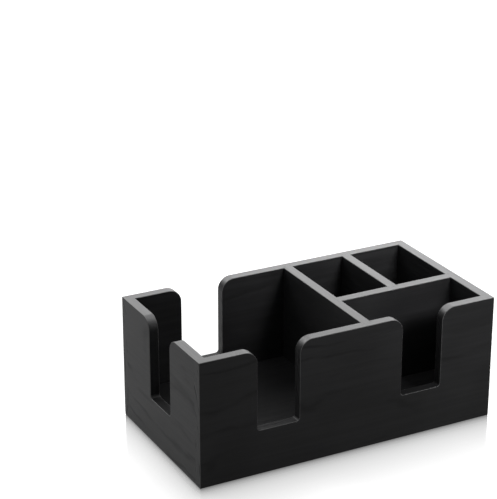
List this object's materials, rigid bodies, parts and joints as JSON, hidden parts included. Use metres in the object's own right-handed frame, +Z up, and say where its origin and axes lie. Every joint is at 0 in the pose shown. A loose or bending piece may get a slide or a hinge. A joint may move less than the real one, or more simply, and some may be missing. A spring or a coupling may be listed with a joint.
{
  "type": "condiment caddy",
  "caption": "Open black wooden caddy with a large square bay, slim rear cells and a wide front cell, and round-shouldered grab slots in its walls.",
  "frame": {"origin": "middle of the footprint, on the surface that the caddy stands on", "axes": "+X along the long front from left to right, +Y from the front to the back, +Z up"},
  "size_m": [0.29, 0.154, 0.116],
  "materials": {
    "black_paint": "satin black paint over horizontal wood grain",
    "brad_steel": "plain bright flat wire"
  },
  "bodies": {
    "root": {"front_board": "black_paint", "back_board": "black_paint", "left_end_board": "black_paint", "right_end_board": "black_paint", "base_board": "black_paint", "bay_divider": "black_paint", "cross_divider": "black_paint", "cell_divider": "black_paint", "corner_brads": "brad_steel", "divider_brads": "brad_steel"}
  },
  "joints": []
}
